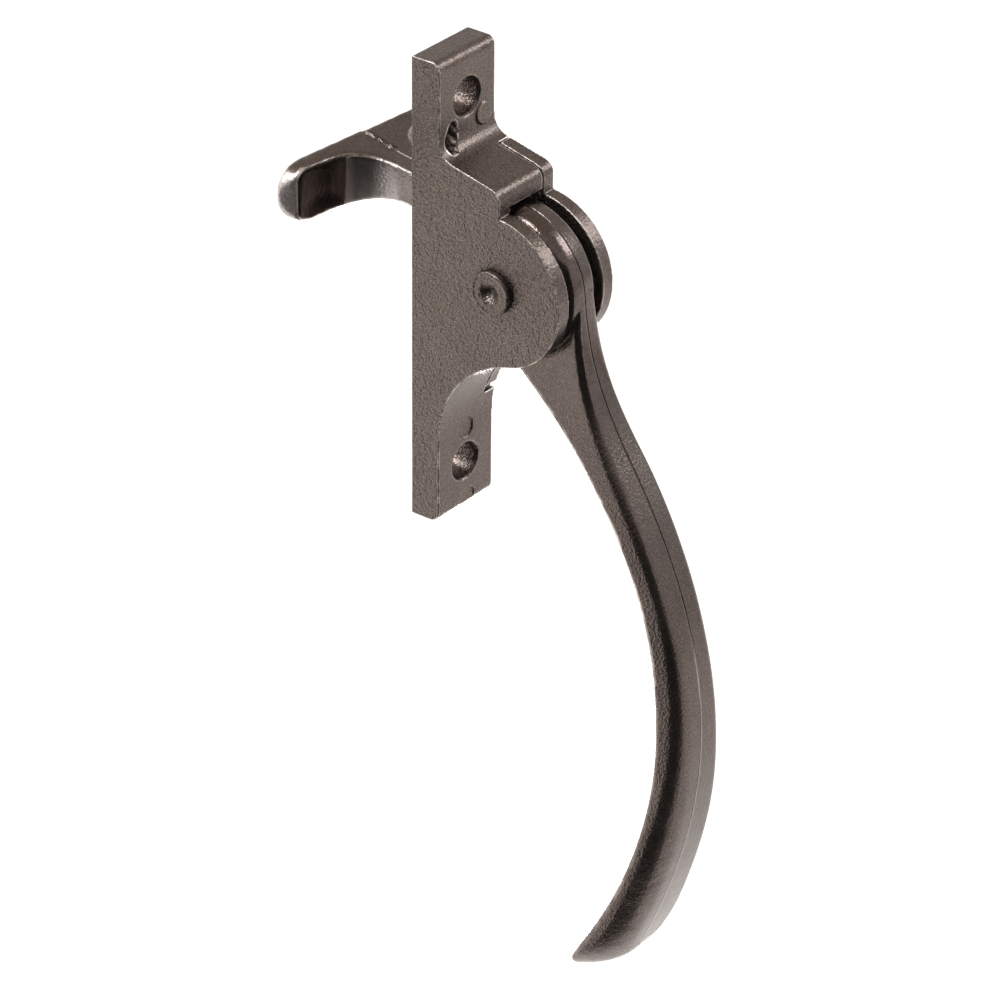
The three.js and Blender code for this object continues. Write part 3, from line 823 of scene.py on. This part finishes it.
def head_plan():
    """Plan of neck and head: a T with wide inner fillets, leaning back a little to the left."""
    def back(x):
        return HEAD_BACK - HEAD_SLANT * (x - LEVER_CENTRE)

    def front(x):
        return back(x) - HEAD_THICK

    def end_corners(end, side):
        """One end of the bar, front to back: cut at a slant, so that its back corner reaches furthest."""
        near = Vector((end - side * HEAD_END_CUT, front(end)))
        far = Vector((end, back(end) - HEAD_BACK_ROUND))
        corners = bend(
            near - Vector((side * HEAD_END_ROUND, 0)),
            near,
            near + (far - near).normalized() * HEAD_END_ROUND,
        )
        inside = end - side * HEAD_BACK_ROUND
        return corners + bend(far, (end, back(end)), (inside, back(inside)), 4)

    left_in = LEVER_LEFT - HEAD_FILLET
    right_in = LEVER_RIGHT + HEAD_FILLET
    outline = [(LEVER_RIGHT, -PIVOT_OUT)]
    outline += bend(
        (LEVER_RIGHT, front(right_in) - HEAD_FILLET),
        (LEVER_RIGHT, front(LEVER_RIGHT)),
        (right_in, front(right_in)),
        20,
    )
    outline += end_corners(LEVER_CENTRE + HEAD_REACH, 1)
    outline += end_corners(LEVER_CENTRE - HEAD_REACH, -1)[::-1]
    outline += bend(
        (left_in, front(left_in)),
        (LEVER_LEFT, front(LEVER_LEFT)),
        (LEVER_LEFT, front(left_in) - HEAD_FILLET),
        20,
    )
    outline.append((LEVER_LEFT, -PIVOT_OUT))
    return outline


def head_bar():
    """Seen from the front, the head is a bar with round ends."""
    radius = HEAD_HEIGHT / 2
    middle = HEAD_TOP - radius
    right = LEVER_CENTRE + HEAD_REACH - radius
    left = LEVER_CENTRE - HEAD_REACH + radius
    outline = arc((right, middle), radius, -90, 90, 32) + arc((left, middle), radius, 90, 270, 32)
    front = -4
    behind = 36
    return front_prism(outline, front, behind)


def hub():
    """The lever's disc: a broad round left edge, and a right half that falls away from the parting line."""
    left_round = 2.0
    right_round = 0.7
    left_drop = 0.1
    right_drop = 0.3
    left_centre = (LEVER_LEFT + left_round, HUB_RADIUS - left_drop - left_round)
    right_centre = (LEVER_RIGHT - right_round, HUB_RADIUS - right_drop - right_round)
    profile = [(0, LEVER_LEFT)]
    profile += [(r, x) for x, r in arc(left_centre, left_round, 180, 90, 10)]
    profile.append((HUB_RADIUS, LEVER_CENTRE))
    profile += [(r, x) for x, r in arc(right_centre, right_round, 90, 0, 6)]
    profile.append((0, LEVER_RIGHT))
    return turned(profile, on_pivot, 144)


def head_softness(x, out, up):
    """How much neck and head are softened: from 4 mm behind the flange on, less toward the head's ends."""
    behind = (-out - 4) / 4
    inward = 1.25 - abs(x - LEVER_CENTRE) / 20
    return min(behind, inward)


def lever():
    """Neck and head are what their side, top and front views have in common; hub and handle join them."""
    left = LEVER_LEFT - OVERCUT
    right = LEVER_RIGHT + OVERCUT
    front = -PIVOT_OUT - 2
    behind = 2
    far = 30
    tall = 8
    body = side_prism(neck_outline(), -far, far)
    common(body, plan_prism(head_plan(), HEAD_TOP - HEAD_HEIGHT - tall, HEAD_TOP + tall))
    neck_room = [(left, front), (right, front), (right, behind), (left, behind)]
    bar = head_bar()
    join(bar, plan_prism(neck_room, PIVOT_UP - OVERCUT, HEAD_TOP + 4))
    common(body, bar)
    join(body, hub())
    join(body, handle())
    cut(body, pivot_cylinder(RIVET_BORE, left, right))
    cast_skin(body, LEVER_VOXEL, 5)
    soften_where(body, head_softness, HEAD_SOFTENING)
    return flash_tear(narrow_below(body))


def pivot_rivet():
    """Headed over on the left round a dimple, with a low collar round its rim; a plain head on the right."""
    shank = RIVET_SHANK / 2
    head = RIVET_HEAD / 2
    head_round = 0.3
    factory = FACTORY_HEAD / 2
    factory_round = 0.7
    seat = 0.05
    left_face = rivet_low[0]
    right_face = rivet_high[0]
    dimple = RIVET_DIMPLE / 2
    profile = [
        (0, left_face + RIVET_DIMPLE_DEPTH),
        (0.35, left_face + RIVET_DIMPLE_DEPTH - 0.05),
        (dimple - 0.4, left_face + 0.3),
        (dimple - 0.1, left_face + 0.12),
        (dimple + 0.25, left_face + 0.06),
        (head - 0.75, left_face + 0.1),
        (head - 0.55, left_face),
    ]
    head_centre = (left_face + head_round, head - head_round)
    profile += [(r, x) for x, r in arc(head_centre, head_round, 180, 90, 6)]
    profile += [(head, LEFT - seat), (shank, LEFT - seat), (shank, RIGHT + seat), (factory, RIGHT + seat)]
    factory_centre = (right_face - factory_round, factory - factory_round)
    profile += [(r, x) for x, r in arc(factory_centre, factory_round, 90, 0, 6)]
    profile.append((0, right_face))
    return cast_skin(turned(profile, on_pivot, 96), RIVET_VOXEL, 3)


def spring_washer():
    """A thin flat ring bent into even waves round the pivot."""
    turns = 120
    middle = (washer_low[0] + washer_high[0]) / 2
    wave = (washer_high[0] - washer_low[0] - WASHER_THICK) / 2
    outer = (washer_high[2] - washer_low[2]) / 2
    inner = WASHER_INNER / 2
    edge = 0.08
    half = WASHER_THICK / 2
    ring = [
        (inner + edge, -half),
        (outer - edge, -half),
        (outer, edge - half),
        (outer, half - edge),
        (outer - edge, half),
        (inner + edge, half),
        (inner, half - edge),
        (inner, edge - half),
    ]
    step = len(ring)
    total = turns * step
    verts = []
    faces = []
    for i in range(turns):
        a = 2 * math.pi * i / turns
        lift = wave * math.cos(WASHER_WAVES * a)
        for radius, side in ring:
            verts.append(on_pivot(-radius * math.cos(a), radius * math.sin(a), middle + lift + side))
        for k in range(step):
            here = i * step + k
            beside = i * step + (k + 1) % step
            faces.append((here, beside, (beside + step) % total, (here + step) % total))
    return mesh_object("washer", verts, faces)


# ---- materials ----
def shader(name):
    material = bpy.data.materials.new(name)
    material.use_nodes = True
    tree = material.node_tree
    return material, tree, tree.nodes["Principled BSDF"]


def noise_node(tree, place, scale, detail):
    """Smooth noise over a place socket; gives its value socket."""
    node = tree.nodes.new("ShaderNodeTexNoise")
    node.inputs["Scale"].default_value = scale
    node.inputs["Detail"].default_value = detail
    tree.links.new(place, node.inputs["Vector"])
    return node.outputs["Fac"]


def ramp_node(tree, source, stops):
    node = tree.nodes.new("ShaderNodeValToRGB")
    ramp = node.color_ramp
    while len(ramp.elements) < len(stops):
        ramp.elements.new(0.5)
    for element, (at, colour) in zip(ramp.elements, stops):
        element.position = at
        element.color = colour
    tree.links.new(source, node.inputs["Fac"])
    return node.outputs["Color"]


def grey_ramp(tree, source, start, dark, end, light):
    return ramp_node(tree, source, [(start, grey(dark)), (end, grey(light))])


def grey(value):
    return (value, value, value, 1)


def feed(tree, socket, value):
    """Gives a socket a fixed value, or links another node's output to it."""
    if isinstance(value, bpy.types.NodeSocket):
        tree.links.new(value, socket)
    else:
        socket.default_value = value


def maths(tree, operation, *values):
    """A maths node over numbers and sockets; gives its result socket."""
    node = tree.nodes.new("ShaderNodeMath")
    node.operation = operation
    for socket, value in zip(node.inputs, values):
        feed(tree, socket, value)
    return node.outputs[0]


def mixed(tree, first, second, blend="MULTIPLY", factor=1.0):
    node = tree.nodes.new("ShaderNodeMix")
    node.data_type = "RGBA"
    node.blend_type = blend
    feed(tree, node.inputs["Factor"], factor)
    feed(tree, node.inputs["A"], first)
    feed(tree, node.inputs["B"], second)
    return node.outputs["Result"]


def bump(tree, height, strength, distance, normal=None):
    node = tree.nodes.new("ShaderNodeBump")
    feed(tree, node.inputs["Strength"], strength)
    node.inputs["Distance"].default_value = distance
    tree.links.new(height, node.inputs["Height"])
    if normal is not None:
        tree.links.new(normal, node.inputs["Normal"])
    return node.outputs["Normal"]


def product(tree, first, *others):
    for other in others:
        first = maths(tree, "MULTIPLY", first, other)
    return first


def eased(tree, source, most, rest):
    """A multiplier that goes from rest to rest + most as source goes from 0 to 1."""
    return maths(tree, "MULTIPLY_ADD", source, most, rest)


def band(tree, source, start, end):
    """0 at start, 1 at end, straight between them and level beyond."""
    node = tree.nodes.new("ShaderNodeMapRange")
    node.inputs["From Min"].default_value = start
    node.inputs["From Max"].default_value = end
    tree.links.new(source, node.inputs["Value"])
    return node.outputs["Result"]


def zone(tree, along, span):
    """A band along one axis of the object, between two places in millimetres."""
    start, end = span
    return band(tree, along, start * MM, end * MM)


def split_axes(tree, source):
    """The X, Y and Z sockets of a vector socket, by name."""
    node = tree.nodes.new("ShaderNodeSeparateXYZ")
    tree.links.new(source, node.inputs["Vector"])
    return node.outputs


def attribute(tree, name):
    node = tree.nodes.new("ShaderNodeAttribute")
    node.attribute_name = name
    return node.outputs["Fac"]


def paint(tree, place, fleck_scale, depth, broad, warm):
    """Bronze with a fine metallic fleck, which drifts from darker to paler and here and there to brown."""
    flecks = noise_node(tree, place, fleck_scale, 1.0)
    colour = ramp_node(tree, flecks, [
        (at, (red * depth, green * depth, blue * depth, 1)) for at, (red, green, blue) in FLECKS
    ])
    drift = ramp_node(tree, broad, [(0.3, (0.9, 0.88, 0.87, 1)), (0.7, (1.08, 1.07, 1.07, 1))])
    brown = ramp_node(tree, warm, [(0.45, (1.0, 1.0, 1.0, 1)), (0.7, (1.02, 0.99, 0.95, 1))])
    return mixed(tree, mixed(tree, colour, drift), brown)


def finish_coat(tree, surface, coat, leather, grain_height):
    """Paints pale metal and a highlight on edges, shade in hollows, and gives the shader its colour, gloss
    and grain.
    """
    # Wear with a painted highlight: edges turn pale.
    wear_highlight_and_shade = mixed(tree, coat["colour"], BARE_METAL_AND_HIGHLIGHT, "MIX", coat["wear_and_highlight"])
    # Painted shade: the colour is darkened in hollows, where shade falls.
    wear_highlight_and_shade = mixed(tree, wear_highlight_and_shade, PAINTED_SHADE_COLOUR, "MULTIPLY", attribute(tree, "painted_shade"))
    dull = mixed(tree, coat["rough"], grey(0.42), "MIX", attribute(tree, "wear_and_highlight"))
    tree.links.new(wear_highlight_and_shade, surface.inputs["Base Color"])
    tree.links.new(dull, surface.inputs["Roughness"])
    surface.inputs["Metallic"].default_value = 0.95
    return bump(tree, leather, coat["grain"], grain_height * MM)


def powder_coat(name, grain_height, grain_scale, roughness, depth=1.0, is_lever=False):
    """Bronze metallic powder coat with a fine leathery grain, strongest on faces that look left or right."""
    material, tree, surface = shader(name)
    where = tree.nodes.new("ShaderNodeTexCoord").outputs
    facing = split_axes(tree, where["Normal"])
    leather = noise_node(tree, where["Object"], grain_scale, 1.0)
    broad = noise_node(tree, where["Object"], 140, 3.0)
    warm = noise_node(tree, where["Object"], 420, 2.0)
    on_side = band(tree, maths(tree, "ABSOLUTE", facing["X"]), 0.6, 0.9)
    coat = {
        "colour": paint(tree, where["Object"], grain_scale * 2.6, depth, broad, warm),
        "rough": grey_ramp(tree, broad, 0.2, roughness - 0.04, 0.8, roughness + 0.06),
        "wear_and_highlight": product(tree, attribute(tree, "wear_and_highlight"), grey_ramp(tree, warm, 0.4, 0.3, 0.6, 1.0)),
        "grain": eased(tree, on_side, 0.25 if is_lever else 0.66, 0.34),
    }
    if not is_lever:
        normal = finish_coat(tree, surface, coat, leather, grain_height)
        tree.links.new(normal, surface.inputs["Normal"])
        return material
    place = split_axes(tree, where["Object"])
    ridge = parting_ridge(tree, place, warm)
    on_handle = zone(tree, place["Z"], RIDGE_UP)
    wear_lever(tree, where["Object"], place, facing, coat, product(tree, ridge, on_handle), on_handle)
    normal = finish_coat(tree, surface, coat, leather, grain_height)
    standing = eased(tree, on_handle, 1.8, -1.0)
    normal = bump(tree, product(tree, ridge, standing), 1.0, 0.0002, normal)
    tree.links.new(normal, surface.inputs["Normal"])
    return material


def wear_lever(tree, where, place, facing, coat, handle_ridge, on_handle):
    """Parting-line wear with a painted highlight, a glossy hub and head, a painted sheen on neck and head
    end, a scuffed grip.
    """
    arm = maths(tree, "SUBTRACT", 1.0, head_end_zone(tree, place))
    wear_and_highlight = product(tree, coat["wear_and_highlight"], eased(tree, on_handle, -0.8, 1.0))
    # The handle's parting line is painted pale: wear with a painted highlight.
    wear_and_highlight = maths(tree, "MAXIMUM", wear_and_highlight, product(tree, handle_ridge, 0.6))
    coat["wear_and_highlight"] = product(tree, wear_and_highlight, eased(tree, arm, 0.7, 0.3))

    looks_forward = band(tree, facing["Y"], -0.35, -0.6)
    head_front = product(tree, zone(tree, place["Y"], HEAD_GLOSS_BACK), looks_forward, arm)
    hub_rim = product(tree, zone(tree, place["Z"], HUB_GLOSS_UP), zone(tree, place["Y"], HUB_GLOSS_BACK))
    sheen = painted_sheen(tree, where, place, facing)
    rough = mixed(tree, coat["rough"], grey(0.13), "MIX", head_front)
    rough = mixed(tree, rough, grey(0.19), "MIX", hub_rim)
    coat["rough"] = mixed(tree, rough, grey(0.5), "MIX", sheen)
    coat["grain"] = product(
        tree, coat["grain"], eased(tree, head_front, -0.75, 1.0), eased(tree, hub_rim, -0.6, 1.0),
    )

    scuffed = scuffs(tree, where, place, facing)
    colour = mixed(tree, coat["colour"], SCUFF_SHADE, "MULTIPLY", scuffed)
    # Painted sheen: paler grey where the neck's fillet and the head's end catch light.
    coat["colour"] = mixed(tree, colour, PAINTED_SHEEN_GREY, "MIX", sheen)


def parting_ridge(tree, place, warm):
    """1 on the mould's parting line, which wanders a little, and 0 a hair's breadth to either side of it."""
    wander = 0.0002
    half_width = 0.00022
    line = maths(tree, "MULTIPLY_ADD", warm, wander, LEVER_CENTRE * MM - wander / 2)
    offset = maths(tree, "ABSOLUTE", maths(tree, "SUBTRACT", place["X"], line))
    return band(tree, offset, half_width, 0.0)


def head_end_zone(tree, place):
    """1 on the left end of the lever's head, 0 along its arm."""
    left_end = LEVER_CENTRE - HEAD_REACH
    return zone(tree, place["X"], [left_end + reach for reach in HEAD_END_SPAN])


def painted_sheen(tree, where, place, facing):
    """A painted sheen: paler grey on the neck's left fillet, most toward its underside, and on the head's
    left end, where they catch light.
    """
    streaky = eased(tree, noise_node(tree, where, 900, 3.0), 0.6, 0.7)
    lower = zone(tree, place["Z"], (HEAD_TOP, HEAD_TOP - HEAD_HEIGHT))
    neck = product(
        tree,
        zone(tree, place["X"], SHEEN_ACROSS),
        zone(tree, place["Y"], SHEEN_BACK),
        band(tree, facing["Z"], 0.5, 0.1),
        band(tree, facing["Y"], 0.1, -0.1),
        eased(tree, lower, 0.7, 0.3),
    )
    tip = product(tree, head_end_zone(tree, place), band(tree, facing["X"], -0.2, -0.6), 0.9)
    return product(tree, maths(tree, "MAXIMUM", neck, tip), streaky)


def scuffs(tree, where, place, facing):
    """Fine scratches across the outer face of the handle's lower end, where it is pulled."""
    stretch = tree.nodes.new("ShaderNodeMapping")
    stretch.inputs["Scale"].default_value = (0.25, 0.6, 1.6)
    tree.links.new(where, stretch.inputs["Vector"])
    lines = noise_node(tree, stretch.outputs["Vector"], 900, 4.0)
    outer_face = band(tree, facing["Y"], -0.1, -0.6)
    return product(tree, zone(tree, place["Z"], SCUFF_UP), outer_face, band(tree, lines, 0.4, 0.62))


def spring_steel():
    material, tree, surface = shader("spring_steel")
    where = tree.nodes.new("ShaderNodeTexCoord").outputs["Object"]
    scratch = noise_node(tree, where, 900, 3.0)
    colour = grey_ramp(tree, scratch, 0.3, 0.16, 0.7, 0.34)
    rough = grey_ramp(tree, scratch, 0.3, 0.32, 0.7, 0.5)
    tree.links.new(colour, surface.inputs["Base Color"])
    tree.links.new(rough, surface.inputs["Roughness"])
    surface.inputs["Metallic"].default_value = 1.0
    return material


def matt(name, cloud_scale, start, dark, end, light):
    """A dull grey with a faint cloud in it, for the stage."""
    material, tree, surface = shader(name)
    where = tree.nodes.new("ShaderNodeTexCoord").outputs["Object"]
    tone = grey_ramp(tree, noise_node(tree, where, cloud_scale, 2.0), start, dark, end, light)
    tree.links.new(tone, surface.inputs["Base Color"])
    surface.inputs["Roughness"].default_value = 1.0
    surface.inputs["Specular IOR Level"].default_value = 0.0
    return material


# ---- stage ----
def camera():
    """A long lens, looking from the upper left of the fastener's front; gives the direction back to it."""
    azimuth = math.radians(CAMERA_AZIMUTH)
    elevation = math.radians(CAMERA_ELEVATION)
    roll = math.radians(CAMERA_ROLL)
    right = Vector((math.cos(azimuth), math.sin(azimuth), 0))
    back = Vector((
        math.sin(azimuth) * math.cos(elevation),
        -math.cos(azimuth) * math.cos(elevation),
        math.sin(elevation),
    ))
    up = back.cross(right)
    across = math.cos(roll) * right + math.sin(roll) * up
    upward = -math.sin(roll) * right + math.cos(roll) * up
    data = bpy.data.cameras.new("camera")
    data.lens = CAMERA_LENS
    data.sensor_width = CAMERA_SENSOR
    data.clip_start = 0.01
    made = bpy.data.objects.new("camera", data)
    turn = Matrix((across, upward, back)).transposed().to_4x4()
    made.matrix_world = Matrix.Translation(CAMERA_PLACE) @ turn
    bpy.context.scene.collection.objects.link(made)
    bpy.context.scene.camera = made
    return back


def area_light(name, place, size, power, tint=(1, 1, 1)):
    """A round soft light that shines at the origin."""
    data = bpy.data.lights.new(name, "AREA")
    data.shape = "DISK"
    data.size = size
    data.energy = power
    data.color = tint
    made = bpy.data.objects.new(name, data)
    away = Vector(place).normalized()
    made.rotation_euler = away.to_track_quat("Z", "Y").to_euler()
    made.location = place
    bpy.context.scene.collection.objects.link(made)
    return made


def softboxes():
    area_light("left_back_softbox", (-0.9, 0.95, 1.2), 0.9, 22)
    area_light("right_front_softbox", (1.05, -0.8, 0.82), 0.7, 8.2, (0.97, 0.99, 1.0))
    area_light("left_top_softbox", (-0.85, 0.1, 1.2), 0.5, 9)
    low_light = area_light("low_back_softbox", (0.25, 0.165, -0.26), 0.14, 1.05)
    low_light.visible_camera = False


def seen_in_reflections_only(piece):
    piece.visible_camera = False
    piece.visible_diffuse = False
    piece.visible_shadow = False


def shade_sheet(back):
    """Painted shade for the unlit side of the room, behind the camera: a dark sheet that lies over the floor,
    then stands.
    """
    facing = math.degrees(math.atan2(back.y, back.x))
    low = FLOOR + SHADE_SHEET_LIFT
    rows = [(SHADE_SHEET_START, low), (SHADE_SHEET_REACH, low), (SHADE_SHEET_REACH, SHADE_SHEET_TOP)]
    steps = 24
    verts = []
    for radius, up in rows:
        for i in range(steps + 1):
            a = math.radians(facing + SHADE_SHEET_SPREAD * (2 * i / steps - 1))
            verts.append((radius * math.cos(a), radius * math.sin(a), up))
    faces = []
    for r in range(len(rows) - 1):
        for i in range(steps):
            here = r * (steps + 1) + i
            faces.append((here, here + 1, here + steps + 2, here + steps + 1))
    sheet = mesh_object("shade_sheet", verts, faces)
    sheet.data.materials.append(matt("shade_sheet_dark", 40, 0.3, 0.012, 0.7, 0.02))
    seen_in_reflections_only(sheet)


def back_shade_card():
    """A dark card far behind the part, seen only in reflections: painted shade, which darkens the flange's
    polished back.
    """
    middle = Vector((0.34, 0.265, -0.25))
    across = Vector((-0.612, 0.791, 0)) * 0.16
    upward = Vector((0.4, 0.31, 0.866)) * 0.10
    low = [middle - across - upward, middle + across - upward]
    high = [middle + across + upward, middle - across + upward]
    card = mesh_object("back_shade_card", low + high, [(0, 1, 2, 3)])
    card.data.materials.append(matt("shade_card_dark", 60, 0.3, 0.012, 0.7, 0.02))
    seen_in_reflections_only(card)


def pale_floor():
    far = FLOOR_REACH
    corners = [(-far, -far, FLOOR), (far, -far, FLOOR), (far, far, FLOOR), (-far, far, FLOOR)]
    floor = mesh_object("floor", corners, [(0, 1, 2, 3)])
    floor.data.materials.append(matt("pale_floor", 0.5, 0.2, 0.93, 0.8, 0.96))


def tent():
    """Soft light from everywhere: white at the horizon, warmer and dimmer overhead."""
    world = bpy.data.worlds.new("tent")
    bpy.context.scene.world = world
    world.use_nodes = True
    tree = world.node_tree
    where = tree.nodes.new("ShaderNodeTexCoord").outputs["Generated"]
    height = split_axes(tree, where)["Z"]
    sky = ramp_node(tree, height, [(0.0, (1.0, 1.0, 1.0, 1)), (0.8, (0.64, 0.54, 0.465, 1))])
    background = tree.nodes["Background"]
    tree.links.new(sky, background.inputs["Color"])
    background.inputs["Strength"].default_value = 1.05


back_direction = camera()
coat = powder_coat("powder_coat", grain_height=0.2112, grain_scale=2100, roughness=0.34)
lever_coat = powder_coat(
    "lever_coat", grain_height=0.168, grain_scale=2500, roughness=0.29, depth=0.9, is_lever=True,
)
finish_piece(base_casting(), "cast_base", "housing", coat, ["base_casting"])
finish_piece(side_plate(), "cast_side_plate", "housing", coat, ["side_plate"])
finish_piece(lever(), "cast_lever", "lever", lever_coat, ["lever"])
finish_piece(pivot_rivet(), "turned_rivet", "housing", coat, ["pivot_rivet"])
finish_piece(spring_washer(), "wave_washer", "housing", spring_steel(), ["spring_washer"])
pale_floor()
shade_sheet(back_direction)
softboxes()
back_shade_card()
tent()
bpy.context.scene.view_settings.view_transform = "Standard"
